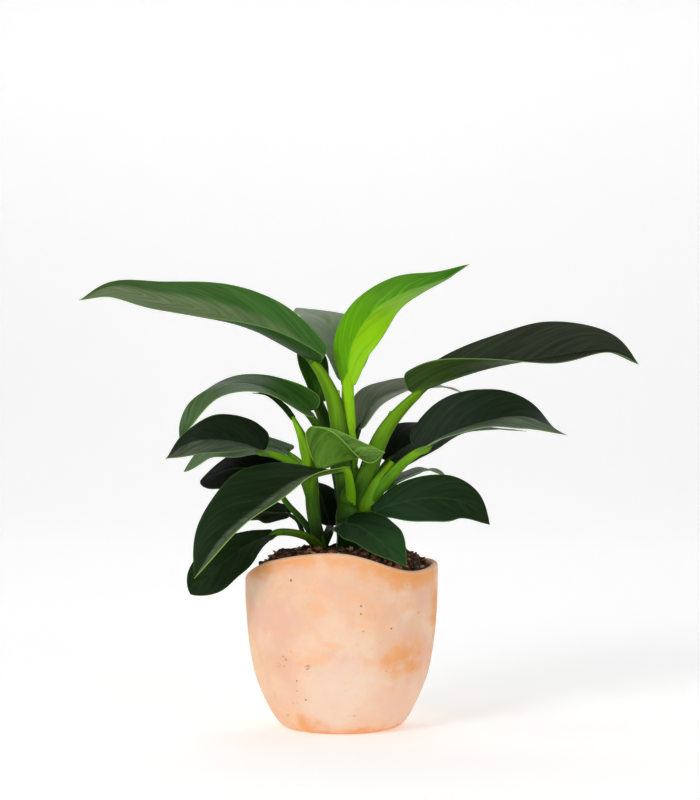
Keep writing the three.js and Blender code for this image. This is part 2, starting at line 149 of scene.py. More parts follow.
# values are numbers for each point, which the finish reads by their names.
def addPiece(name, points, faces, finish, replaced, values={}):
    mesh = bpy.data.meshes.new(name)
    mesh.from_pydata((np.asarray(points) * mm).tolist(), [], [list(face) for face in faces])
    for key, numbers in values.items():
        mesh.attributes.new(key, "FLOAT", "POINT").data.foreach_set("value", np.asarray(numbers, np.float32))
    work = bmesh.new()
    work.from_mesh(mesh)
    bmesh.ops.recalc_face_normals(work, faces=work.faces)
    work.to_mesh(mesh)
    work.free()
    mesh.shade_smooth()
    mesh.materials.append(finish)
    piece = added(name, mesh)
    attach(piece, "root")
    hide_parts(*replaced)


def mix(a, b, share):
    return a + (b - a) * share


def unit(vectors):
    return vectors / np.linalg.norm(vectors, axis=-1, keepdims=True)


# A smooth path through points. Its ends go on straight.
class Path:
    def __init__(self, points, fineness=400):
        self.points = np.array(points, float)
        self.grid = np.linspace(0, 1, fineness + 1)
        steps = np.linalg.norm(np.diff(self.through(self.grid), axis=0), axis=1)
        self.lengths = np.concatenate([[0], np.cumsum(steps)])
        self.length = self.lengths[-1]

    # u counts the given points evenly, t in the next two goes by length.
    def through(self, u):
        p = self.points
        p = np.vstack([2 * p[0] - p[1], p, 2 * p[-1] - p[-2]])
        place = np.clip(np.asarray(u, float), 0, 1) * (len(p) - 3)
        k = np.minimum(place.astype(int), len(p) - 4)
        f = (place - k)[:, None]
        a, b, c, d = p[k], p[k + 1], p[k + 2], p[k + 3]
        spans = ((a, b), (b, c), (c, d))
        first, middle, last = (np.sqrt(np.linalg.norm(y - x, axis=1))[:, None] for x, y in spans)
        leave = ((b - a) / first - (c - a) / (first + middle) + (c - b) / middle) * middle
        reach = ((c - b) / middle - (d - b) / (middle + last) + (d - c) / last) * middle
        return b + f * (leave + f * (3 * (c - b) - 2 * leave - reach + f * (2 * (b - c) + leave + reach)))

    def at(self, t):
        return self.through(np.interp(np.asarray(t, float) * self.length, self.lengths, self.grid))

    def ahead(self, t, nearby=0.02):
        t = np.asarray(t, float)
        return unit(self.at(np.minimum(t + nearby, 1)) - self.at(np.maximum(t - nearby, 0)))


# The faces of a grid of points, row after row. closed joins the ends of each row.
def gridFaces(rows, columns, start=0, closed=False):
    faces = []
    for i in range(rows - 1):
        for j in range(columns if closed else columns - 1):
            a = start + i * columns + j
            b = start + i * columns + (j + 1) % columns
            faces.append((a, b, b + columns, a + columns))
    return faces


# The same for closed rings, with a face over the first and the last one.
def ringFaces(rows, columns):
    last = (rows - 1) * columns
    ends = [tuple(range(columns)), tuple(range(last, last + columns))]
    return gridFaces(rows, columns, closed=True) + ends


view = {"place": (5.7, -1350, 219.3), "focalPixels": 2003, "pixelsWide": 700, "sensor": 36, "clipEnd": 30000}


def addCamera():
    data = bpy.data.cameras.new("camera")
    data.sensor_fit = "HORIZONTAL"
    data.sensor_width = view["sensor"]
    data.lens = view["focalPixels"] / view["pixelsWide"] * view["sensor"]
    data.clip_end = view["clipEnd"] * mm
    camera = added("camera", data)
    camera.location = [value * mm for value in view["place"]]
    camera.rotation_euler = (math.radians(90), 0, 0)
    scene.camera = camera


studio = {
    "paper": (247, 247, 247), "wall": 2600, "bend": 900, "bendSteps": 16, "height": 6000, "half": 12000,
    "front": 12000,
    "sky": (250, 250, 250), "skyStrength": 0.08, "glow": 0.35,
    # place, size, watts
    "lights": [
        ((-1100, -1500, 1100), 700, 15.5),
        ((1300, -1500, 700), 700, 6),
        ((-200, -100, 2300), 900, 6),
        ((0, 1500, 2000), 1800, 8.5),
    ],
    "aim": (0, 0, 150),
}


def addStudio():
    steps, reach = studio["bendSteps"], studio["bend"]
    line = [(-studio["front"], 0)]
    for i in range(steps + 1):
        turn = i / steps * math.pi / 2
        line.append((studio["wall"] - reach + reach * math.sin(turn), reach - reach * math.cos(turn)))
    line.append((studio["wall"], studio["height"]))
    points = [(x * studio["half"] * mm, y * mm, z * mm) for y, z in line for x in (-1, 1)]
    faces = gridFaces(len(line), 2)
    back, front, half = studio["wall"], -studio["front"], studio["half"]
    faces += gridFaces(4, 2, len(points))  # far walls on the other three sides
    for x, y in ((-half, back), (-half, front), (half, front), (half, back)):
        points += [(x * mm, y * mm, 0), (x * mm, y * mm, studio["height"] * mm)]
    finish = Finish("paper")
    tone = finish.soft(finish.noise(400, 2), 0.2, 0.8)
    paper = screen(*studio["paper"])
    colour = finish.mix(tone, paper, [0.98 * value for value in paper[:3]] + [1])
    finish.surface(colour, 0.9, 0.1, more={"Emission Color": paper, "Emission Strength": studio["glow"]})
    mesh = bpy.data.meshes.new("paperSweep")
    mesh.from_pydata(points, [], faces)
    mesh.shade_smooth()
    mesh.materials.append(finish.material)
    added("paperSweep", mesh)
    world = bpy.data.worlds.new("sky")
    world.use_nodes = True
    background = world.node_tree.nodes["Background"]
    background.inputs["Color"].default_value = screen(*studio["sky"])
    background.inputs["Strength"].default_value = studio["skyStrength"]
    scene.world = world
    for i, (place, size, watts) in enumerate(studio["lights"]):
        data = bpy.data.lights.new(f"softLight{i}", "AREA")
        data.size = size * mm
        data.energy = watts
        light = added(data.name, data)
        light.location = [value * mm for value in place]
        toward = np.array(studio["aim"]) - np.array(place)
        flat = math.hypot(toward[0], toward[1])
        light.rotation_euler = (math.atan2(flat, -toward[2]), 0, math.atan2(-toward[0], toward[1]))
    scene.view_settings.view_transform = "Standard"


addCamera()
addStudio()
print("camera and studio made")


pot = {
    "foot": 35, "wall": 4.5, "floor": 6, "sides": 220, "rows": 72, "insideRows": 40, "lipSteps": 12,
    "centre": 0.02,  # radius of the smallest rings
    "outline": [
        (35, 0), (38.5, 0.9), (41.5, 2.6), (46.5, 9), (53.6, 23),
        (59.2, 39), (62.6, 60), (64.4, 80), (65, 100), (65, 125),
    ],
    # height of the rim at even steps around, from the right by way of the back
    "rim": (111, 110, 104, 100, 101, 115, 120.5, 108),
    "lip": 2.4, "dents": 0.28, "dentsFrom": 12,
    "clay": (238, 192, 160), "pale": (244, 210, 182), "peach": (247, 188, 142), "stain": (240, 164, 98),
    "pink": (238, 186, 164), "yellow": (246, 208, 158), "bloom": (242, 220, 202), "red": (170, 96, 66),
    "speck": (110, 76, 54),
    # marks on the front: x, height, reach and how flat
    "stains": [
        (42, 50, 24, 1.6), (40, 104, 30, 2.6), (-54, 109, 17, 1.6), (-20, 5, 15, 1.4), (14, 1, 16, 3),
        (62, 80, 14, 0.7), (-60, 30, 12, 0.8),
    ],
    # yellows are painted light: lighter, yellower patches on the pot's lit left side
    "yellows": [(-63, 66, 22, 0.5), (-50, 40, 16, 0.7)],
    "pales": [(2, 34, 26, 1.0), (-8, 16, 20, 1.2)],
    "reds": [
        (8.8, 14, 2.6, 1.6), (23, 80, 2.4, 1.2), (-37, 51, 5, 1.8), (-22, 47, 2.6, 0.7), (-36, 12, 2.8, 2),
        (-30, 22, 4, 2.4), (-41, 46, 3, 1), (15, 70, 3, 2), (30, 44, 2.4, 1.4),
    ],
    "pinholes": [(-33, 56.4), (-29, 37), (-23, 24.5), (32.5, 71.5), (-37.5, 46)], "pinhole": 0.62,
}
outline = Path([(r, 0, z) for r, z in pot["outline"]])
outlinePoints = outline.at(np.linspace(0, 1, 400))


def outerRadius(z):
    return np.interp(z, outlinePoints[:, 2], outlinePoints[:, 0])


def rimHeight(angle):
    heights = np.array(pot["rim"])
    place = (angle / (2 * math.pi) % 1) * len(heights)
    k = np.floor(place).astype(int)
    f = place - k
    a, b, c, d = (heights[(k + i) % len(heights)] for i in (-1, 0, 1, 2))
    return b + 0.5 * f * (c - a + f * (2 * a - 5 * b + 4 * c - d + f * (3 * (b - c) + d - a)))


# Hand-made unevenness of the clay, in millimetres.
def dents(angle, z):
    wide = np.sin(2 * angle + z / 31) + np.sin(3 * angle - z / 23 + 1) + 0.8 * np.sin(5 * angle + z / 17 + 4)
    small = np.sin(11 * angle + z / 9) * np.sin(z / 7 + 2) + np.sin(7 * angle - z / 5 + 3)
    return pot["dents"] * (0.5 * wide + 0.25 * small - 0.9)


def potFinish():
    finish = Finish("terracotta")
    names = ("clay", "pale", "peach", "stain", "pink", "yellow", "bloom", "red", "speck")
    clay, pale, peach, stain, pink, yellow, bloom, red, speck = (screen(*pot[key]) for key in names)
    below = finish.read("belowRim")
    height = finish.read("height")
    place = finish.place()
    clouds = finish.noise(38, 4, 0.6)
    patches = finish.noise(22, 5, 0.65, finish.stretched(place, (1, 1, 1.7)))
    blotches = finish.noise(9, 4, 0.6)
    grain = finish.noise(0.9, 4, 0.7)

    # A mark on the front of the pot, 1 in its middle, with an uneven edge.
    def mark(x, z, reach, flat=1.0, uneven=1.2):
        y = -math.sqrt(max(float(outerRadius(z)) ** 2 - x ** 2, 0))
        scale = (1, 1, flat)
        middle = [value * mm * share for value, share in zip((x, y, z), scale)]
        away = finish.node("ShaderNodeVectorMath", {"operation": "DISTANCE"},
                           {0: finish.stretched(place, scale), 1: middle}, 1)
        return finish.soft(away / (reach * mm) + (blotches - 0.5) * uneven, 1.3, 0.2)

    def marked(colour, tone, marks, amount):
        spread = sum(mark(*place) for place in marks)
        return finish.mix(finish.soft(spread, 0, 1) * amount, colour, tone)

    colour = finish.mix(finish.soft(clouds, 0.35, 0.65), clay, pale)
    colour = finish.mix(finish.soft(patches, 0.46, 0.66) * 0.75, colour, peach)
    colour = finish.mix(finish.soft(finish.noise(30, 3), 0.48, 0.68) * 0.75, colour, pink)
    lowBloom = finish.soft(height, 60, 15) * finish.soft(clouds, 0.3, 0.6)
    colour = finish.mix(lowBloom * 0.6, colour, pale)
    colour = marked(colour, bloom, pot["pales"], 0.55)
    # Painted light on the left side of the pot.
    colour = marked(colour, yellow, pot["yellows"], finish.soft(clouds, 0.35, 0.6) * 0.6)
    rimStain = finish.soft(below + clouds * 14, 20, 7) * finish.soft(patches, 0.28, 0.55)
    colour = finish.mix(rimStain * 0.9, colour, stain)
    colour = marked(colour, stain, pot["stains"], finish.soft(patches, 0.25, 0.55) * 0.8)
    footStain = finish.soft(height + blotches * 16, 15, 6) * finish.soft(finish.noise(26, 3), 0.45, 0.62)
    colour = finish.mix(footStain * 0.8, colour, stain)
    colour = finish.mix(finish.soft(height + blotches * 4, 5, 2) * 0.7, colour, stain)
    smudges = finish.soft(finish.noise(5, 5, 0.7), 0.6, 0.74) * finish.soft(patches, 0.42, 0.6)
    colour = finish.mix(smudges * 0.5, colour, stain)
    flecks = finish.soft(finish.noise(2.2, 4, 0.75), 0.64, 0.74) * finish.soft(finish.noise(24, 3), 0.45, 0.6)
    colour = finish.mix(flecks * 0.55, colour, red)
    scratches = finish.noise(1.8, 3, 0.7, finish.stretched(place, (0.6, 1, 1.6)))
    colour = marked(colour, red, pot["reds"], finish.soft(scratches, 0.5, 0.64) * 0.7)
    lip = finish.soft(below, 3.5, 0.2)
    colour = finish.mix(lip * 0.55, colour, pale)
    spots = finish.node("ShaderNodeTexVoronoi", {}, {"Vector": place, "Scale": 150})
    pits = finish.soft(spots, 0.16, 0.07) * finish.soft(finish.noise(14, 2), 0.6, 0.68)
    holes = sum(mark(x, z, pot["pinhole"], 1, 0) for x, z in pot["pinholes"])
    colour = finish.mix(finish.soft(pits * 0.7 + holes, 0, 1), colour, speck)
    colour = finish.mix(finish.soft(grain, 0.55, 0.8) * 0.18, colour, stain)
    relief = grain * 0.05 + finish.noise(4, 4, 0.6) * 0.25 - pits * 0.5 - holes * 0.6
    rough = 0.72 + finish.soft(grain, 0.3, 0.7) * 0.16
    return finish.surface(colour, rough, 0.25, relief)


def addPot():
    angles = np.arange(pot["sides"]) * 2 * math.pi / pot["sides"]
    rim = rimHeight(angles)
    rings, heights, below = [], [], []

    def ring(radius, z):
        rings.append(np.stack([radius * np.cos(angles), radius * np.sin(angles), z + 0 * angles], 1))
        heights.append(z + 0 * angles)
        below.append(rim - z)

    ring(pot["centre"], 0 * angles)
    ring(pot["foot"] * 0.6, 0 * angles)
    ring(pot["foot"] - 1.2, 0 * angles)
    lip = pot["lip"]
    nearFoot = np.array([0.0, 0.004, 0.01, 0.018, 0.03, 0.045])
    for k in np.concatenate([nearFoot, np.linspace(0.06, 1, pot["rows"])]):
        z = k * (rim - lip)
        fade = np.clip(z / pot["dentsFrom"], 0, 1)
        ring(outerRadius(z) + dents(angles, z) * fade, z)
    half = pot["wall"] / 2
    edge = outerRadius(rim - lip) + dents(angles, rim - lip)
    middle = edge - half
    for turn in np.linspace(0, math.pi, pot["lipSteps"] + 1)[1:-1]:
        ring(middle + half * math.cos(turn), rim - lip + lip * math.sin(turn))
    for k in np.linspace(1, 0.2, pot["insideRows"]):
        z = mix(pot["floor"] + 2, rim - lip, (k - 0.2) / 0.8)
        ring(outerRadius(z) - pot["wall"] + dents(angles, rim - lip) * k, z)
    ring(outerRadius(pot["floor"]) - pot["wall"] - 3, pot["floor"] + 0 * angles)
    ring(pot["centre"], pot["floor"] + 0 * angles)
    points = np.concatenate(rings)
    faces = ringFaces(len(rings), pot["sides"])
    values = {"height": np.concatenate(heights), "belowRim": np.concatenate(below)}
    addPiece("potBody", points, faces, potFinish(), ["pot"], values)


addPot()
print("pot made")


soil = {
    "crown": 118, "radius": 60, "belowRim": 3, "fall": 6, "lump": 1.1, "rings": 90, "sides": 240,
    "wallRings": 8, "gap": 0.5, "sink": 0.3, "seed": 7,
    "waves": 24, "waveSpread": 0.55, "waveHeight": 0.22, "calmRim": 14,
    "dark": (34, 22, 15), "brown": (90, 56, 38), "tan": (206, 160, 122), "rust": (156, 92, 60),
}


def soilHeight(x, y):
    wall = rimHeight(np.arctan2(y, x)) - soil["belowRim"]
    fall = np.minimum(np.hypot(x, y) / soil["radius"], 1) ** soil["fall"]
    lumps = np.sin(x * 0.31) * np.cos(y * 0.27) + np.sin(x * 0.13 - y * 0.19)
    return mix(soil["crown"], wall, fall) + soil["lump"] * lumps * (1 - fall)


def soilFinish(name, bits):
    finish = Finish(name)
    dark, brown, tan, rust = (screen(*soil[key]) for key in ("dark", "brown", "tan", "rust"))
    grain = finish.noise(2.2, 5, 0.7)
    colour = finish.mix(finish.soft(grain, 0.42, 0.68), dark, brown)
    if bits:
        tint = finish.read("tint")
        colour = finish.mix(finish.soft(tint, 0.2, 0.8), colour, brown)
        colour = finish.mix(finish.soft(tint, 0.45, 0.7) * 0.8, colour, rust)
        colour = finish.mix(finish.soft(tint, 0.74, 0.9) * finish.soft(grain, 0.3, 0.6), colour, tan)
    relief = grain * 0.5 + finish.noise(0.7, 4, 0.7) * 0.2
    rough = 0.8 + finish.soft(grain, 0.4, 0.6) * 0.15
    return finish.surface(colour, rough, 0.35, relief)


def addSoil():
    angles = np.arange(soil["sides"]) * 2 * math.pi / soil["sides"]
    rim = rimHeight(angles)
    rings = []
    for k in np.linspace(0.06, 0.95, soil["wallRings"]):
        z = mix(pot["floor"] + 1, rim - soil["belowRim"], k)
        r = outerRadius(z) - pot["wall"] - soil["gap"]
        rings.append(np.stack([r * np.cos(angles), r * np.sin(angles), z], 1))
    rng = np.random.default_rng(soil["seed"])
    phases = rng.uniform(0, 2 * math.pi, (soil["waves"], 2))
    waves = rng.normal(0, soil["waveSpread"], (soil["waves"], 2))
    for k in np.linspace(1, 0.01, soil["rings"]):
        x = k * soil["radius"] * np.cos(angles)
        y = k * soil["radius"] * np.sin(angles)
        rough = sum(np.sin(x * w[0] + p[0]) * np.cos(y * w[1] + p[1]) for w, p in zip(waves, phases))
        rough = soil["waveHeight"] * rough * min(1, soil["calmRim"] * (1 - k))
        rings.append(np.stack([x, y, soilHeight(x, y) + rough - soil["sink"]], 1))
    points = np.concatenate(rings)
    faces = ringFaces(len(rings), soil["sides"])
    addPiece("soilBed", points, faces, soilFinish("soilCrumb", False), ["soil"])


# Bits of bark: lumpy little blocks, mostly lying flat. wide and high are shares of their length.
bark = {
    "count": 1150, "size": (1.6, 6.5), "reach": 57, "seed": 8, "manySmall": 2.2, "square": 0.6,
    "wide": (0.4, 0.8), "high": (0.25, 0.6), "lift": (-0.6, 0.5), "set": 0.4, "uneven": 0.09, "tilt": 0.5,
}


def addBark():
    rng = np.random.default_rng(bark["seed"])
    seedMesh = bmesh.new()
    bmesh.ops.create_icosphere(seedMesh, subdivisions=2, radius=1)
    ball = np.array([v.co[:] for v in seedMesh.verts])
    ballFaces = [[v.index for v in face.verts] for face in seedMesh.faces]
    seedMesh.free()
    block = np.sign(ball) * np.abs(ball) ** bark["square"]
    points, faces, tints = [], [], []
    for _ in range(bark["count"]):
        angle = rng.uniform(0, 2 * math.pi)
        r = bark["reach"] * math.sqrt(rng.uniform())
        low, high = bark["size"]
        size = mix(low, high, rng.uniform() ** bark["manySmall"])
        shape = size / 2 * np.array([1, rng.uniform(*bark["wide"]), rng.uniform(*bark["high"])])
        lumps = 1 + rng.normal(0, bark["uneven"], (len(ball), 1))
        turn = rng.uniform(0, 2 * math.pi)
        tilt, roll = rng.normal(0, bark["tilt"]), rng.normal(0, bark["tilt"])
        cz, sz, cy, sy, cx, sx = (f(v) for v in (turn, tilt, roll) for f in (math.cos, math.sin))
        spin = np.array([[cz, -sz, 0], [sz, cz, 0], [0, 0, 1]])
        spin = spin @ np.array([[cy, 0, sy], [0, 1, 0], [-sy, 0, cy]])
        spin = spin @ np.array([[1, 0, 0], [0, cx, -sx], [0, sx, cx]])
        x, y = r * math.cos(angle), r * math.sin(angle)
        z = float(soilHeight(x, y)) + rng.uniform(*bark["lift"]) * size * bark["set"]
        start = len(points) * len(ball)
        points.append(block * lumps * shape @ spin.T + (x, y, z))
        faces += [[start + index for index in face] for face in ballFaces]
        tints.append(np.full(len(ball), rng.uniform()))
    addPiece("barkBits", np.concatenate(points), faces, soilFinish("bark", True), [],
             {"tint": np.concatenate(tints)})


addSoil()
addBark()
print("soil made")


# tone is painted shade on a shoot's stem, from 0 to 1.
shoots = {
    "main": {"at": (5.5, 2), "radius": 9, "top": (8, 1, 150), "stemTop": 6, "tone": 0.9},
    "left": {"at": (-14, -6), "radius": 3.8, "top": (-20, -7, 148), "stemTop": 3, "tone": 0.15},
}

# petiole and blade are points along their middles, and thick is the petiole's radius on the way. half is
# half the blade's width, lobe how far its base reaches back. outline is the base's width as a share, where
# the blade is widest, how full it is beyond and how drawn out its tip is. left and right are the rise of
# each half at the base, the middle and the tip, in degrees, and wave is the height and number of its waves.
# For the left and the right half, curl is how much more it bends on its way to the margin, sheens how strong
# its painted sheen is, bands that stand in for reflections, and margins how light its margin is. The bands'
# tint is the colour that this painted sheen adds, and a sheenShift below 0 takes the left ones past the
# midrib.
# Colours are near at the base, far at the tip, other on the right half and under below. pale, dark, veins and
# midrib are the strengths of streaks, fine veins and the line along the middle. tone is painted shade that
# darkens the petiole, from 0 to 1, and below a quarter it paints light instead.
plainLeaf = {
    "shoot": "main", "slot": "dark_leaf", "outline": (0.6, 0.4, 1.8, 1.1), "curl": (0, 0), "wave": (1, 2),
    "sheens": (0, 0), "sheenTint": (0.15, 0.18, 0.12), "sheenShift": 0, "margins": (0.4, 0.4),
    "marginWide": 0.75, "pale": 0.3, "dark": 0.6, "veins": 0.3, "midrib": 0.4, "gloss": 0.08, "tone": 0.3,
}
leaves = {
    "upper_left": {
        "slot": "green_leaf", "half": 27, "lobe": 3, "outline": (0.5, 0.28, 1.7, 1.05),
        "petiole": [(2, 0, 172), (-5, 2, 219), (-14, 3, 242)], "thick": (5.5, 6.5, 7, 6, 3.4),
        "blade": [(-17, 3, 245), (-30, 3, 252), (-72, 5, 273), (-123, 8, 287), (-156, 9, 294),
                  (-178, 8, 287)],
        "left": (10, -30, -70), "right": (75, 58, 50), "curl": (35, 0), "wave": (0.6, 2),
        "near": (70, 102, 44), "other": (50, 102, 32), "far": (52, 80, 38), "under": (46, 84, 26),
        "sheenTint": (0.2, 0.21, 0.14), "sheens": (0.75, 0.08), "sheenShift": -0.25, "margins": (0.9, 0.9),
        "pale": 0.35, "dark": 0.45, "veins": 0.4, "tone": 0.6,
    },
    "back_upper": {
        "slot": "grey_leaf", "half": 24, "lobe": 2, "outline": (0.35, 0.45, 2.2, 0.9),
        "petiole": [(5, 8, 172), (2, 18, 212), (2, 24, 230)], "thick": (3, 2.4, 2),
        "blade": [(2, 25, 232), (-1, 45, 254), (-12, 70, 275), (-33, 98, 286)],
        "left": (30, 15, 0), "right": (30, 15, 0),
        # Its grey colours are a painted reflection of the bright surroundings over its own green, as seen at
        # a slant.
        "near": (100, 124, 84), "far": (106, 126, 92), "under": (120, 140, 108), "sheens": (0.35, 0.35),
        "dark": 0.4, "tone": 0.85,
    },
    "newest": {
        "slot": "new_leaf", "half": 21, "lobe": 2, "outline": (0.3, 0.38, 1.8, 1),
        "petiole": [(7, 4, 172), (5, 4, 207), (3.5, 6, 227)], "thick": (5, 4.8, 4.4, 4),
        "blade": [(4, 8, 231), (7, 14, 256), (22, 24, 280), (45, 36, 294), (72, 50, 304), (90, 62, 315)],
        "left": (5, 30, 45), "right": (-40, -12, 20),
        # other is its own light green plus painted light shining through this half, which is in front.
        "near": (98, 166, 6), "other": (146, 204, 14), "far": (50, 108, 20), "under": (76, 116, 34),
        "margins": (0.9, 0.9), "pale": 0.4, "dark": 0.35, "tone": 0,
    },
    "upper_right": {
        "half": 27, "lobe": 5, "outline": (0.55, 0.5, 2, 1.05),
        "petiole": [(14, 0, 159), (29, -2, 199), (48, -3, 224)], "thick": (8, 7.4, 6, 3.2),
        "blade": [(50, -3, 225), (74, -4, 234), (102, -6, 242), (139, -10, 248), (176, -14, 252),
                  (198, -16, 243)],
        "left": (45, 60, 85), "right": (80, -5, 10),
        "near": (20, 31, 14), "far": (21, 28, 15), "under": (50, 72, 26), "sheens": (0.2, 0.1),
        "margins": (0.15, 0.9), "dark": 0.35, "veins": 0.2, "tone": 0.6,
    },
    "arched_left": {
        "slot": "green_leaf", "half": 19, "lobe": 6, "outline": (0.65, 0.35, 2.6, 1.05),
        "petiole": [(2, 2, 159), (-11, 0, 192), (-21, -4, 211)], "thick": (4, 3.4, 2.6),
        "blade": [(-23, -5, 213), (-35, -6, 219), (-53, -8, 228), (-70, -9, 230.5), (-88, -10, 226.5),
                  (-101.5, -11, 217), (-106.5, -12, 205), (-108, -12, 191.5)],
        "left": (-20, -20, -100), "right": (80, 10, 15),
        "near": (36, 76, 12), "far": (40, 78, 20), "under": (60, 104, 34), "sheens": (0.5, 0.04),
        "margins": (0.9, 0.6), "pale": 0.35, "dark": 0.7, "tone": 0.85,
    },
    "oval_left": {
        "shoot": "left", "half": 21, "lobe": 5, "outline": (0.85, 0.25, 1.6, 1.05),
        "petiole": [(-20, -8, 152), (-30, -12, 175), (-45, -15, 183)], "thick": (3.8, 3.6, 3.2, 2.2),
        "blade": [(-54, -17, 186), (-64, -20, 190), (-82, -26, 193), (-100, -32, 191), (-115, -38, 181)],
        "left": (-8, -28, -90), "right": (55, 55, 5), "wave": (0.8, 2),
        "near": (15, 29, 13), "far": (17, 31, 14), "under": (50, 76, 40), "sheens": (0.6, 0.05),
        "margins": (0.6, 0.6), "pale": 0.2, "dark": 0.3, "veins": 0.15, "midrib": 0.2, "tone": 0.45,
    },
    "pale_left": {
        "shoot": "left", "slot": "grey_leaf", "half": 13, "lobe": 5, "outline": (0.6, 0.5, 2, 0.8),
        "petiole": [(-19, 4, 158), (-28, 10, 177), (-38, 14, 184)], "thick": (2.6, 2, 1.6),
        "blade": [(-39, 14, 185), (-63, 30, 188), (-90, 46, 186), (-111, 56, 169)],
        "left": (-20, -40, -50), "right": (30, 45, 50), "wave": (0.8, 2),
        "near": (54, 84, 46), "far": (64, 96, 44), "under": (84, 116, 66), "sheens": (0.5, 0.3), "tone": 0.4,
    },
    "black_left": {
        "shoot": "left", "slot": "black_leaf", "half": 20, "lobe": 6, "outline": (0.7, 0.45, 2.4, 0.7),
        "petiole": [(-25, -4, 137), (-37, 0, 150), (-43, 3, 159)], "thick": (2.8, 2.2, 1.8),
        "blade": [(-44, 4, 163), (-54, 16, 170), (-74, 34, 172), (-99, 52, 163)],
        "left": (-50, -50, -40), "right": (50, 50, 40), "wave": (0.8, 2),
        # Its own dark green is deepened to near black by painted shade from the leaves around it.
        "near": (6, 12, 4), "far": (8, 16, 5), "under": (16, 28, 10), "gloss": 0.02,
    },
    "front_left": {
        "half": 29, "lobe": 2, "outline": (0.12, 0.5, 1.9, 1),
        "petiole": [(6, -9, 149), (6, -14, 160), (5, -22, 172)], "thick": (4, 3.8, 3.4, 2.2),
        "blade": [(3, -25, 174.5), (-27, -37, 166), (-52, -48, 148), (-75, -59, 130), (-94, -68, 105)],
        "left": (12, 11, 11), "right": (-15, 62, 40),
        "near": (24, 42, 18), "far": (27, 46, 21), "under": (84, 116, 40), "sheenTint": (0.16, 0.2, 0.12),
        "sheens": (0.95, 0.02), "sheenShift": -0.06, "margins": (1.0, 0.05), "marginWide": 1.4, "dark": 0.35,
        "veins": 0.15, "midrib": 0.15, "gloss": 0.05, "tone": 0.05,
    },
    "low_left": {
        "shoot": "left", "half": 18.5, "lobe": 4, "outline": (0.25, 0.6, 2.4, 0.75),
        "petiole": [(-18, -10, 125), (-31, -18, 131), (-43, -22.5, 131.5)], "thick": (3.2, 2.8, 2.4),
        "blade": [(-48, -24, 130), (-60, -30, 125), (-76, -38, 114), (-98, -48, 93)],
        "left": (-20, -30, -30), "right": (40, 40, 30), "wave": (0.8, 2),
        "near": (22, 42, 16), "far": (24, 42, 18), "under": (40, 66, 26), "sheens": (0.05, 0.02),
        "margins": (0.1, 0.1), "pale": 0.2, "dark": 0.35, "veins": 0.15, "midrib": 0.15, "gloss": 0.05,
        "tone": 0.12,
    },
    "small_left": {
        "shoot": "left", "slot": "black_leaf", "half": 11, "lobe": 3, "outline": (0.6, 0.4, 2, 0.9),
        "petiole": [(-25, 0, 128), (-30, 3, 138), (-36, 5, 142)], "thick": (2, 1.6, 1.3),
        "blade": [(-37, 5, 143), (-45, 8, 143), (-54, 11, 143), (-66, 14, 138)],
        "left": (-35, -35, -20), "right": (35, 35, 20), "wave": (0.5, 2),
        "near": (14, 26, 8), "far": (14, 26, 10), "under": (30, 50, 18), "gloss": 0.03, "tone": 0.25,
    },
    "front_middle": {
        "shoot": "left", "slot": "green_leaf", "half": 29, "lobe": 2, "outline": (0.9, 0.1, 1.15, 1.05),
        "petiole": [(-20, -8, 142), (-21, -9, 158), (-18.5, -10, 168)], "thick": (3.2, 3.2, 2.8),
        "blade": [(-15.5, -11, 173), (-3, -14, 177.5), (13, -17, 181.5), (29, -20, 184.5)],
        "left": (76, 80, 60), "right": (92, 48, -160), "wave": (0.6, 1),
        # other is darker with painted shade on the right half, which folds down.
        "near": (98, 138, 42), "other": (70, 112, 30), "far": (66, 104, 30), "under": (84, 126, 36),
        "sheens": (0.15, 0.2), "margins": (1, 1), "pale": 0.8, "veins": 0.5, "tone": 0.2,
    },
    "behind_right": {
        "slot": "grey_leaf", "half": 14, "lobe": 2, "outline": (0.6, 0.35, 1.8, 1.1),
        "petiole": [(9, 8, 158), (8, 14, 185), (10, 18, 199)], "thick": (3, 2.4, 2),
        "blade": [(11, 18, 200), (21, 32, 217), (41, 52, 226), (70, 74, 229), (88, 88, 224)],
        "left": (45, 35, 10), "right": (10, 0, 0),
        "near": (116, 124, 104), "far": (130, 138, 116), "under": (136, 148, 122), "sheens": (0.5, 0.4),
        "pale": 0.4, "dark": 0.5, "tone": 0.8,
    },
    "right": {
        "half": 26, "lobe": 7, "outline": (0.65, 0.35, 1.8, 1.25),
        "petiole": [(18, -4, 149), (38, -8, 174), (51, -9.5, 184.5)], "thick": (5, 4.6, 4, 2.6),
        "blade": [(56, -10, 188), (70, -12, 196), (92, -16, 204), (122, -22, 208), (149, -30, 196)],
        "left": (65, 60, -20), "right": (-5, -14, -50),
        "near": (22, 38, 22), "far": (26, 40, 23), "under": (100, 124, 84), "sheenTint": (0.2, 0.26, 0.17),
        "sheens": (0.05, 0.75), "margins": (0.1, 0.6), "pale": 0.2, "dark": 0.22, "veins": 0.12,
        "midrib": 0.2, "gloss": 0.06,
    },
    "under_right": {
        "slot": "black_leaf", "half": 20, "lobe": 5, "outline": (0.75, 0.25, 1.7, 1.2),
        "petiole": [(17, 6, 148), (23, 12, 166), (31, 16, 177)], "thick": (2.8, 2.4, 2),
        "blade": [(32, 17, 179), (44, 28, 187), (58, 42, 194), (90, 64, 200), (132, 84, 197)],
        "left": (65, 20, 0), "right": (-25, -10, 0),
        "near": (12, 20, 10), "far": (34, 52, 26), "under": (62, 74, 50), "sheens": (0, 0.2), "pale": 0.2,
        "dark": 0.4, "gloss": 0.03, "tone": 0.75,
    },
    "low_right": {
        "half": 20, "lobe": 3, "outline": (0.35, 0.45, 1.9, 0.95),
        "petiole": [(11, -5, 134), (16, -8, 141), (20, -10, 144)], "thick": (3, 2.4, 2),
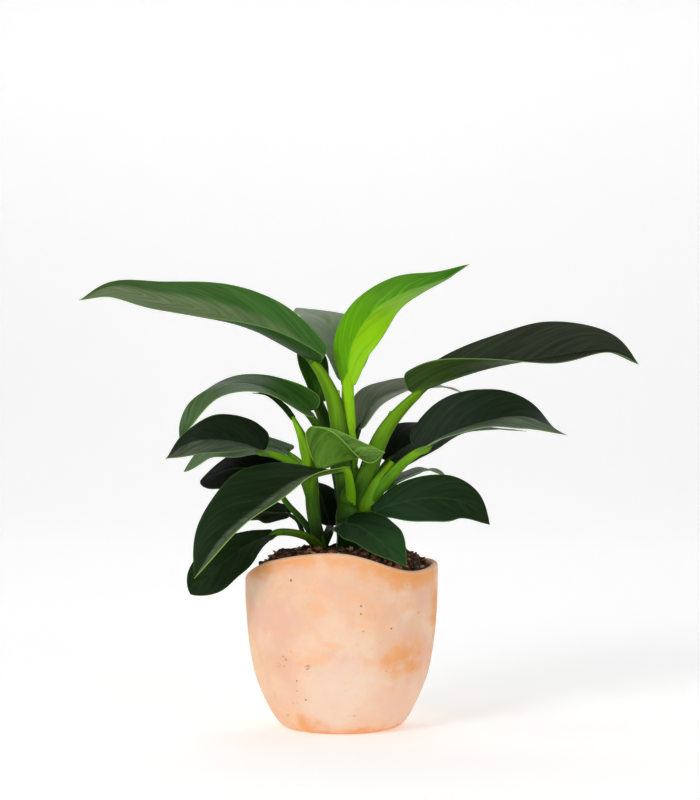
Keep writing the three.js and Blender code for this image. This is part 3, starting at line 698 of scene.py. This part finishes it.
        "blade": [(23, -12, 145), (37, -14, 150), (58, -17, 154), (82, -22, 151), (98, -27, 137)],
        "left": (50, 50, 40), "right": (-30, -52, -40), "wave": (0.8, 2),
        "near": (26, 52, 24), "far": (26, 42, 18), "under": (50, 90, 36), "sheens": (0.05, 0.03),
        "margins": (0.1, 0.5), "pale": 0.2, "dark": 0.3, "veins": 0.12, "midrib": 0.2, "gloss": 0.06,
        "tone": 0.7,
    },
    "over_rim": {
        "half": 20, "lobe": 1, "outline": (0.75, 0.3, 1.9, 1),
        "petiole": [(5, -8, 127), (1, -18, 135)], "thick": (2.6, 2, 1.6),
        "blade": [(2, -25, 138.5), (14, -32, 134.5), (28, -44, 124.5), (42, -56, 111.5)],
        "left": (20, 30, 24), "right": (-15, -12, -5), "wave": (0.8, 2),
        "near": (18, 42, 18), "far": (40, 78, 32), "under": (44, 80, 28), "sheens": (0, 0.05),
        "margins": (0.35, 0.35), "pale": 0.35, "dark": 0.4, "veins": 0.15, "tone": 0.4,
    },
    "thin_right": {
        "slot": "grey_leaf", "half": 9, "lobe": 3,
        "petiole": [(21, 8, 152), (34, 14, 163)], "thick": (2.2, 1.8, 1.5),
        "blade": [(36, 14, 163), (48, 26, 168), (61, 40, 171), (73, 54, 166)],
        "left": (10, 10, 0), "right": (10, 10, 0), "wave": (0.5, 2),
        "near": (60, 90, 50), "far": (70, 100, 54), "under": (84, 112, 66), "sheens": (0.3, 0.3), "tone": 0.6,
    },
    "narrow_back": {
        "slot": "green_leaf", "half": 14, "lobe": 3,
        "petiole": [(-3, 10, 172), (-12, 15, 206), (-15, 20, 217)], "thick": (4, 4.4, 4.4, 4),
        "blade": [(-16, 21, 219), (-21, 34, 235), (-25, 48, 253), (-29, 60, 269)],
        "left": (40, 40, 20), "right": (40, 40, 20), "wave": (0.6, 2),
        "near": (40, 76, 14), "far": (30, 52, 12), "under": (44, 78, 18), "pale": 0.5, "dark": 0.8,
        "veins": 0.6, "tone": 0.9,
    },
    "low_back": {
        "shoot": "left", "slot": "black_leaf", "half": 15, "lobe": 1,
        "petiole": [(-9, 1, 129), (-8, 9, 132)], "thick": (3.2, 3.2, 2.6),
        "blade": [(-8, 15, 134), (-12, 24, 146), (-16, 34, 157), (-21, 42, 163)],
        "left": (20, 20, 10), "right": (20, 20, 10), "wave": (0.6, 2),
        # Its own dark green is deepened to near black by painted shade between the shoots.
        "near": (12, 24, 6), "far": (12, 24, 8), "under": (24, 40, 12), "gloss": 0.03, "tone": 0.9,
    },
}
leaves = {key: {**plainLeaf, **leaf} for key, leaf in leaves.items()}

blade = {
    "middle": 0.8, "edge": 0.5, "tipHalf": 0.25, "waveLag": 2, "rib": 1.3, "ribWidth": 1.5, "groove": 0.4,
    "grooveWidth": 1.1, "rowLength": 1.6, "columns": 45, "veinReach": 0.45, "veinSpacing": 6, "quilt": 0.04,
    "quiltFade": 4, "bareBase": 0.25, "bareRise": 20, "veinBend": 1.25, "rimBulge": 0.45,
    "thinBelow": 3, "crowdTip": 1.15, "crowdMargin": 0.6,
}


# A curve through the values for the base, the middle and the tip.
def along(values, t):
    base, middle, tip = values
    return base * (1 - t) * (1 - 2 * t) + 4 * middle * t * (1 - t) + tip * t * (2 * t - 1)


def halfWidth(leaf, t):
    base, widest, belly, point = leaf["outline"]
    near = mix(base, 1, np.sin(math.pi / 2 * np.minimum(t / widest, 1)))
    beyond = np.clip((t - widest) / (1 - widest), 0, 1)
    far = (1 - beyond ** belly) ** point
    return np.maximum(leaf["half"] * np.where(t < widest, near, far), blade["tipHalf"])


# Middle surface of a blade: s goes from -1 at the right margin over 0 at the midrib to 1 at the left one.
def bladeSurface(leaf, line, t, s):
    start, end = line.at([0, 1])
    heading = math.atan2(end[1] - start[1], end[0] - start[0])
    ahead = line.ahead(t)
    flat = np.array([-math.sin(heading), math.cos(heading), 0])
    side = unit(flat - ahead * (ahead @ flat)[:, None])
    up = np.cross(ahead, side)
    out = np.abs(s)[None, :]
    left = (s > 0)[None, :]
    t = t[:, None]
    width = halfWidth(leaf, t)
    rise = np.radians(np.where(left, along(leaf["left"], t), along(leaf["right"], t)))
    bend = np.radians(np.where(left, leaf["curl"][0], leaf["curl"][1])) + 1e-4
    level = width * (np.sin(rise + bend * out) - np.sin(rise)) / bend
    lift = width * (np.cos(rise) - np.cos(rise + bend * out)) / bend
    height, waves = leaf["wave"]
    swing = np.sin(2 * math.pi * waves * t + np.where(left, 0, blade["waveLag"])) * np.sin(math.pi * t)
    back = leaf["lobe"] * np.sqrt(1 - (2 * out - 1) ** 2) * (1 - t) ** 3
    point = line.at(t[:, 0])[:, None, :] + side[:, None, :] * (np.sign(s) * level)[..., None]
    point = point + up[:, None, :] * (lift + height * swing * out ** 2)[..., None]
    return point - ahead[:, None, :] * back[..., None]


def bladeNormals(leaf, line, t, s, nearby=0.01):
    forward = bladeSurface(leaf, line, np.minimum(t + nearby, 1), s)
    forward = forward - bladeSurface(leaf, line, np.maximum(t - nearby, 0), s)
    across = bladeSurface(leaf, line, t, np.minimum(s + nearby, 1))
    across = across - bladeSurface(leaf, line, t, np.maximum(s - nearby, -1))
    return unit(np.cross(forward, across))


def leafFinish(name, leaf):
    finish = Finish(name)

    def shade(colour, scale, plus=(0, 0, 0)):
        return tuple(np.append(np.clip(np.array(colour[:3]) * scale + plus, 0, 1), 1))

    near, far, under = (screen(*leaf[key]) for key in ("near", "far", "under"))
    other = screen(*leaf.get("other", leaf["near"]))
    names = ("along", "across", "edge", "mid", "vein", "below")
    t, s, edge, mid, vein, below = (finish.read(key) for key in names)
    clouds = finish.noise(26, 3)
    fine = finish.noise(3, 4, 0.6)
    rightHalf = finish.soft(s, 0.03, -0.03)
    streaks = finish.noise(1000, 4, 0.7, finish.point(vein * 0.9, s * 1.1, t * 1.5))
    threads = finish.noise(1000, 2, 0.5, finish.point(vein * 5, s * 2, t * 3))
    colour = finish.mix(rightHalf, near, other)
    colour = finish.mix(finish.soft(t + (clouds - 0.5) * 0.4, 0.2, 1), colour, far)
    colour = finish.mix(finish.soft(streaks, 0.53, 0.33) * leaf["dark"], colour, shade(near, 0.5))
    pale = shade(near, 1.7, (0.01, 0.016, 0.006))
    colour = finish.mix(finish.soft(streaks, 0.5, 0.68) * leaf["pale"], colour, pale)
    colour = finish.mix(finish.soft(threads, 0.5, 0.75) * leaf["veins"], colour, pale)
    # Painted sheen: grey bands that stand in for reflections of the bright surroundings, as strong as sheens
    # say.
    grey = shade(near, 0.6, leaf["sheenTint"])
    shift = leaf["sheenShift"]
    border = finish.soft(s, shift + 0.03, shift * 2 - 0.03)
    sheen = finish.mix(border, *((value, value, value, 1) for value in leaf["sheens"]))
    patch = finish.soft(streaks * 0.8 + threads * 0.4, 0.45, 0.72)
    colour = finish.mix(sheen * (patch * 0.5 + 0.38), colour, grey)
    ribColour = shade(near, 1.5, (0.04, 0.07, 0.02))
    onRib = finish.soft(mid, 1, 0.3) * finish.soft(t, 0.98, 0.5)
    colour = finish.mix(onRib * leaf["midrib"], colour, ribColour)
    beneath = finish.mix(finish.soft(streaks, 0.35, 0.6), shade(under, 0.6), shade(under, 1.1))
    raised = finish.soft(mid, 2.2, 0.6) * 0.5 + finish.soft(threads, 0.5, 0.75) * 0.3
    beneath = finish.mix(raised, beneath, shade(under, 1.5, (0.03, 0.045, 0.015)))
    colour = finish.mix(below, colour, beneath)
    margin = shade(under, 1.5, (0.09, 0.15, 0.04))
    margins = finish.mix(rightHalf, *((value, value, value, 1) for value in leaf["margins"]))
    marginWide = leaf["marginWide"]
    colour = finish.mix(finish.soft(edge, marginWide, marginWide * 0.3) * margins, colour, margin)
    relief = finish.noise(0.8, 3, 0.6) * 0.02 + streaks * 0.15 + threads * 0.05 + fine * 0.03
    rough = finish.soft(fine, 0.3, 0.7) * 0.1 + below * 0.1 + 0.4
    return finish.surface(colour, rough, leaf["gloss"], relief)


def addLeaf(name, leaf, replaced, finish):
    line = Path(leaf["blade"])
    rows = max(24, int(line.length / blade["rowLength"]))
    columns = blade["columns"]
    t = 1 - (1 - np.linspace(0, 1, rows)) ** blade["crowdTip"]
    s = np.sin(np.linspace(-1, 1, columns) * math.pi / 2)
    s = mix(np.linspace(-1, 1, columns), s, blade["crowdMargin"])
    surface = bladeSurface(leaf, line, t, s)
    normal = bladeNormals(leaf, line, t, s)
    width = halfWidth(leaf, t)[:, None]
    out = np.abs(s)[None, :]
    fromMid = width * out
    thick = mix(blade["middle"], blade["edge"], out) + 0 * fromMid
    thick = thick * np.clip(width / blade["thinBelow"], 0.5, 1)
    rib = blade["rib"] * (1 - t[:, None]) * np.exp(-(fromMid / blade["ribWidth"]) ** 2)
    groove = blade["groove"] * (1 - t[:, None]) ** 0.5 * np.exp(-(fromMid / blade["grooveWidth"]) ** 2)
    vein = t[:, None] - blade["veinReach"] * out ** blade["veinBend"]
    vein = vein * line.length / blade["veinSpacing"]
    fromEdge = width * (1 - out)
    quilt = blade["quilt"] * np.cos(2 * math.pi * vein) * np.clip(fromMid / blade["quiltFade"], 0, 1)
    quilt = quilt * np.clip(fromEdge / blade["quiltFade"], 0, 1)
    top = surface + normal * (thick / 2 - groove - quilt)[..., None]
    bottom = surface - normal * (thick / 2 + rib + quilt)[..., None]
    bulge = blade["rimBulge"]
    rimLeft = surface[:, -1] + unit(surface[:, -1] - surface[:, -2]) * thick[:, -1:] * bulge
    rimRight = surface[:, 0] + unit(surface[:, 0] - surface[:, 1]) * thick[:, :1] * bulge
    ring = np.concatenate([top, rimLeft[:, None], bottom[:, ::-1], rimRight[:, None]], 1)
    count = ring.shape[1]
    points = ring.reshape(-1, 3)
    faces = gridFaces(rows, count, closed=True)
    # Both ends are closed by strips from the upper face to the lower one.
    for first in (0, (rows - 1) * count):
        for j in range(columns - 1):
            faces.append((first + j, first + j + 1, first + 2 * columns - j - 1, first + 2 * columns - j))
        faces.append((first + columns - 1, first + columns, first + columns + 1))
        faces.append((first, first + 2 * columns, first + 2 * columns + 1))

    # A value for each point of a row: the upper face, the left rim, the lower face and the right rim.
    def ringed(*parts):
        sizes = (columns, 1, columns, 1)
        parts = [np.broadcast_to(part, (rows, size)) for part, size in zip(parts, sizes)]
        return np.concatenate(parts, 1).ravel()

    def bothFaces(grid):
        grid = grid + 0 * fromMid
        return ringed(grid, grid[:, -1:], grid[:, ::-1], grid[:, :1])

    # The rounded base has a light margin too, apart from its middle.
    bare = blade["bareRise"] * np.clip(blade["bareBase"] - out, 0, 1)
    fromRim = np.minimum(fromEdge, t[:, None] * line.length + bare)
    values = {
        "along": bothFaces(t[:, None]), "across": bothFaces(s[None, :]), "mid": bothFaces(fromMid),
        "vein": bothFaces(vein), "edge": ringed(fromRim, 0, fromRim[:, ::-1], 0),
        "below": ringed(0, 0.5, 1, 0.5),
    }
    addPiece(name, points, faces, finish, replaced, values)


for key, leaf in leaves.items():
    name = "leaf" + key.title().replace("_", "")
    addLeaf(name, leaf, ["blade_" + key], leafFinish(name, leaf))
print("leaves made")


# tone is painted shade on a sheath; the stalk table holds the default.
sheaths = [
    {"shoot": "main", "path": [(14, 0, 159), (24, -1, 186), (33, -2, 212)], "thick": (6, 5, 0.8)},
    {"shoot": "main", "path": [(2, 0, 172), (-2, 1, 205), (-2, 1, 226)], "thick": (6, 6, 0.8), "tone": 0.3},
    {"shoot": "main", "path": [(16, -2, 145), (24, -5, 163), (34, -6, 178)], "thick": (5, 6.8, 2.2)},
    {"shoot": "main", "path": [(4, -8, 140), (4, -9, 156), (7, -12, 168)], "thick": (8, 8, 0.8), "tone": 0.5},
    {
        "shoot": "left", "thick": (2.8, 3.2, 4.6, 4.4, 1.3),
        "path": [(-18, -5, 142), (-20, -3, 162), (-22, -1, 177), (-26, 0, 193), (-33, 2, 208)],
    },
]
stalk = {
    "steps": 60, "sides": 28, "coreSides": 40, "flat": 0.85, "depth": 29, "neck": 5, "drop": 0.7,
    "ribEnd": 0.06, "ribDrop": 0.8, "ribThick": 0.4,
    # depth of the channel and, in radians around the stalk, half its width and the place of its ridges
    "channel": 0.16, "sheathChannel": 0.1, "channelWide": 0.5, "ridgeAt": 0.85, "sheathTone": 0.1,
    # low, middle and high paint shade and light: darker low down in the leaves' shade, lighter high up where
    # lit
    "low": (30, 60, 8), "middle": (74, 128, 12), "high": (142, 202, 8), "edge": (170, 210, 84),
}


def stalkFinish():
    finish = Finish("stalk")
    low, middle, high, pale = (screen(*stalk[key]) for key in ("low", "middle", "high", "edge"))
    height, around, tone, ridge = (finish.read(key) for key in ("height", "around", "tone", "ridge"))
    clouds = finish.noise(12, 3)
    lengthwise = finish.noise(1000, 3, 0.5, finish.point(around * 5, height * 0.02, tone * 7))
    # Painted shade: darker low down, under the leaves, and painted light higher up.
    colour = finish.mix(finish.soft(height + (clouds - 0.5) * 20, 125, 170), low, middle)
    colour = finish.mix(finish.soft(height + (clouds - 0.5) * 30, 150, 215), colour, high)
    # tone paints light on the bright stalks below a quarter and shade on the others above it.
    colour = finish.mix(finish.soft(tone, 0.25, 0) * 0.5, colour, high)
    colour = finish.mix(finish.soft(tone, 0.25, 0.9) * 0.9, colour, low)
    colour = finish.mix(finish.soft(lengthwise, 0.45, 0.7) * 0.35, colour, low)
    # Painted shade along each stalk's flanks; the brightest stalks don't get it.
    flankShade = abs(abs(around) - 0.72)
    colour = finish.mix(finish.soft(flankShade, 0.12, 0.5) * finish.soft(tone, 0, 0.1) * 0.6, colour, low)
    colour = finish.mix(finish.soft(ridge, 0.5, 1) * 0.6, colour, pale)
    relief = lengthwise * 0.25 + finish.noise(1.5, 3) * 0.04
    rough = 0.42 + finish.soft(clouds, 0.3, 0.7) * 0.12
    return finish.surface(colour, rough, 0.12, relief)


# A tapering tube with a channel along its upper side, and what the finish reads from it. last is the share
# of the length after which a petiole runs out under its blade.
def tube(points, thick, channel, tone, last=None, sides=stalk["sides"]):
    steps = stalk["steps"]
    line = Path(points)
    t = np.linspace(0, 1, steps + 1)
    ahead = line.ahead(t)
    across = unit(np.cross(np.array([0.0, -1, 0]), ahead))
    deep = np.cross(ahead, across)
    places = np.linspace(0, 1, len(thick)) if last is None else [*np.linspace(0, last, len(thick) - 1), 1]
    radius = np.interp(t, places, thick)[:, None]
    turn = (np.arange(sides) * 2 * math.pi / sides)[None, :]
    upward = unit(np.array([0, 0, 1.0]) - ahead * ahead[:, 2:])
    face = np.arctan2((upward * deep).sum(1), (upward * across).sum(1))[:, None]
    off = np.abs((turn - face + math.pi) % (2 * math.pi) - math.pi)
    fromRidge = off - stalk["ridgeAt"]
    shape = 1 - channel * np.exp(-(off / stalk["channelWide"]) ** 2)
    shape = shape + 0.5 * channel * np.exp(-(fromRidge / 0.25) ** 2)
    size = radius * shape
    ring = line.at(t)[:, None, :] + across[:, None, :] * (size * np.cos(turn))[..., None]
    ring = ring + deep[:, None, :] * (size * stalk["flat"] * np.sin(turn))[..., None]
    ridge = np.exp(-(fromRidge / 0.2) ** 2) * channel * 3
    # Painted shade under the blade: a stalk's tone goes up to 1 at its end.
    endShade = 1 if tone > 0.05 else tone  # a stalk darkens under its blade, unless it is a bright one
    toEnd = 0 * t if last is None else np.clip((t - last) / (1.001 - last), 0, 1)
    values = {
        "height": ring[..., 2].ravel(), "around": np.sin((turn - face) / 2 + 0 * size).ravel(),
        "tone": (mix(tone, endShade, toEnd)[:, None] + 0 * size).ravel(),
        "ridge": ridge.ravel(),
    }
    return ring.reshape(-1, 3), ringFaces(steps + 1, sides), values


# Several tubes as one mesh.
def joined(parts):
    points, faces, values = [], [], {}
    start = 0
    for partPoints, partFaces, partValues in parts:
        points.append(partPoints)
        faces += [tuple(start + index for index in face) for face in partFaces]
        for key, column in partValues.items():
            values.setdefault(key, []).append(column)
        start += len(partPoints)
    return np.concatenate(points), faces, {key: np.concatenate(columns) for key, columns in values.items()}


def addShoot(name, finish):
    shoot = shoots[name]
    x, y = shoot["at"]
    foot = (x, y, soil["crown"] - stalk["depth"])
    middle = (x, y, soil["crown"])
    core = [foot, middle, (x, y, soil["crown"] + stalk["neck"]), shoot["top"]]
    coreThick = (*[shoot["radius"]] * 3, shoot["stemTop"])
    parts = [tube(core, coreThick, 0, shoot["tone"], sides=stalk["coreSides"])]
    for leaf in leaves.values():
        if leaf["shoot"] == name:
            end = np.array(leaf["blade"][0], float)
            back = unit(np.array(leaf["petiole"][-1]) - end)
            down = np.array([0, 0, -stalk["drop"] * leaf["thick"][-1]])
            down = down - back * (down @ back)
            rib = Path(leaf["blade"]).at([stalk["ribEnd"]])[0] + stalk["ribDrop"] * unit(down)
            # The petiole's last point is left out where it lies close to the blade's start.
            close = np.linalg.norm(end - leaf["petiole"][-1]) < 2 * leaf["thick"][-1]
            points = [middle, *leaf["petiole"][:-1 if close else None], end + down, rib]
            last = 1 - np.linalg.norm(rib - end - down) / Path(points).length
            thick = (*leaf["thick"], stalk["ribThick"])
            parts.append(tube(points, thick, stalk["channel"], leaf["tone"], last))
    for sheath in sheaths:
        if sheath["shoot"] == name:
            points, tone = [middle, *sheath["path"]], sheath.get("tone", stalk["sheathTone"])
            parts.append(tube(points, sheath["thick"], stalk["sheathChannel"], tone))
    points, faces, values = joined(parts)
    addPiece(name + "Shoot", points, faces, finish, ["stem_" + name], values)


finish = stalkFinish()
for name in shoots:
    addShoot(name, finish)

# The sheath without a blade ends in a dry tip, made like a leaf.
dryPoint = {
    **plainLeaf, "half": 2.6, "lobe": 0.5, "outline": (0.9, 0.2, 1.6, 1.1),
    "blade": [(-32.6, 2, 207), (-39, 2, 215), (-50, 2, 223), (-60, 2, 224)],
    "left": (-50, -50, -50), "right": (50, 50, 50), "wave": (0, 1),
    "near": (40, 60, 20), "far": (30, 34, 18), "under": (34, 44, 18),
}
addLeaf("dryPoint", dryPoint, ["sheath_tip"], leafFinish("dryTip", dryPoint))
print("stalks made")
